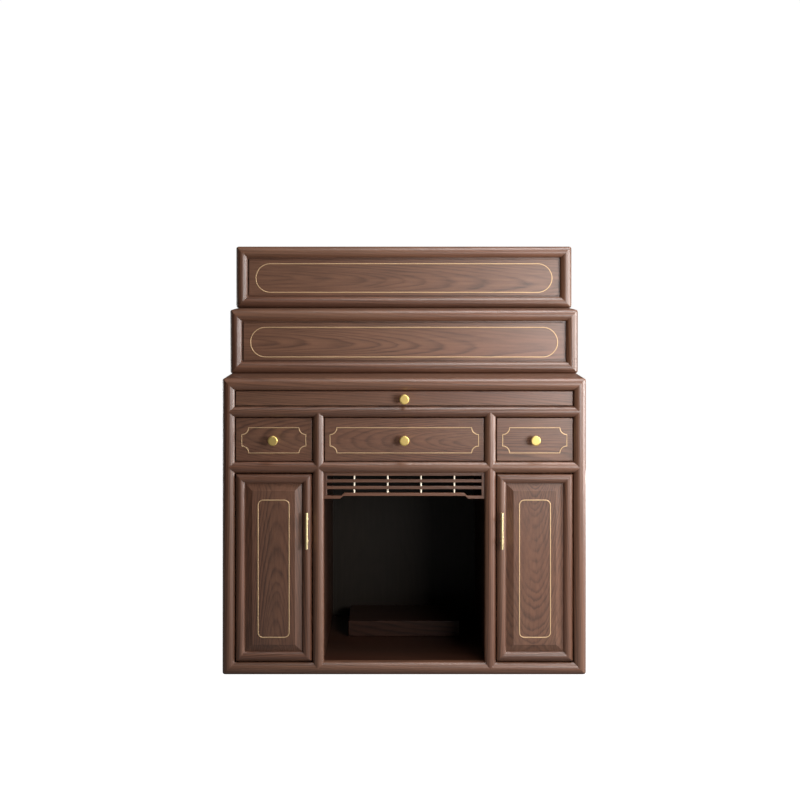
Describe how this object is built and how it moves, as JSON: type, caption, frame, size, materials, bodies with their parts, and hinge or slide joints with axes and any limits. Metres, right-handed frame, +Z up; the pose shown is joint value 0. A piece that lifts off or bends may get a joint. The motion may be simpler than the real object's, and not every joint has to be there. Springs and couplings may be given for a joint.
{
  "type": "altar table",
  "caption": "Tiered household altar cabinet in dark wood with half-round frames, pull-out board, drawers, pivoted doors and an open niche with a fretwork lattice.",
  "frame": {"origin": "on the floor, under the middle of the bounding box", "axes": "+Z up, the front faces -Y, +X to the right of someone who faces the front"},
  "size_m": [1.08, 0.634, 1.276],
  "materials": {
    "walnut": "dark walnut stain under satin lacquer",
    "inside_wood": "plain wood, thinly sealed",
    "brass": "polished brass",
    "gold_line": "satin inlaid line"
  },
  "bodies": {
    "cabinet": {"left_side_panel": "walnut", "right_side_panel": "walnut", "back_panel": "inside_wood", "counter_top": "walnut", "slide_support_board": "walnut", "middle_board": "walnut", "base_board": "walnut", "left_niche_wall": "walnut", "right_niche_wall": "walnut", "left_drawer_divider": "inside_wood", "right_drawer_divider": "inside_wood", "left_stile": "walnut", "right_stile": "walnut", "top_rail": "walnut", "slide_rail": "walnut", "drawer_rail": "walnut", "bottom_rail": "walnut", "left_drawer_stile": "walnut", "right_drawer_stile": "walnut", "left_niche_stile": "walnut", "right_niche_stile": "walnut", "niche_lattice": "walnut", "lattice_post_1": "brass", "lattice_post_2": "brass", "lattice_post_3": "brass", "lattice_post_4": "brass", "niche_plinth": "walnut", "lower_tier_box": "walnut", "lower_tier_frame": "walnut", "lower_tier_panel": "walnut", "lower_tier_line": "gold_line", "upper_tier_box": "walnut", "upper_tier_frame": "walnut", "upper_tier_panel": "walnut", "upper_tier_line": "gold_line"},
    "slide_board": {"slide_board_front": "walnut", "slide_board_shelf": "walnut", "slide_board_knob": "brass"},
    "left_drawer": {"left_drawer_front": "walnut", "left_drawer_box": "inside_wood", "left_drawer_line": "gold_line", "left_drawer_knob": "brass"},
    "centre_drawer": {"centre_drawer_front": "walnut", "centre_drawer_box": "inside_wood", "centre_drawer_line": "gold_line", "centre_drawer_knob": "brass"},
    "right_drawer": {"right_drawer_front": "walnut", "right_drawer_box": "inside_wood", "right_drawer_line": "gold_line", "right_drawer_knob": "brass"},
    "left_door": {"left_door_frame": "walnut", "left_door_panel": "walnut", "left_door_line": "gold_line", "left_door_handle": "brass"},
    "right_door": {"right_door_frame": "walnut", "right_door_panel": "walnut", "right_door_line": "gold_line", "right_door_handle": "brass"}
  },
  "joints": [
    {"name": "slide_board_slide", "type": "slide", "parent": "cabinet", "child": "slide_board", "axis": [0, -1, 0], "range_m": [0, 0.34]},
    {"name": "left_drawer_slide", "type": "slide", "parent": "cabinet", "child": "left_drawer", "axis": [0, -1, 0], "range_m": [0, 0.38]},
    {"name": "centre_drawer_slide", "type": "slide", "parent": "cabinet", "child": "centre_drawer", "axis": [0, -1, 0], "range_m": [0, 0.38]},
    {"name": "right_drawer_slide", "type": "slide", "parent": "cabinet", "child": "right_drawer", "axis": [0, -1, 0], "range_m": [0, 0.38]},
    {"name": "left_door_hinge", "type": "hinge", "parent": "cabinet", "child": "left_door", "pos_m": [-0.487, -0.277, 0.3175], "axis": [0, 0, -1], "range_deg": [0, 100]},
    {"name": "right_door_hinge", "type": "hinge", "parent": "cabinet", "child": "right_door", "pos_m": [0.487, -0.277, 0.3175], "axis": [0, 0, 1], "range_deg": [0, 100]}
  ]
}
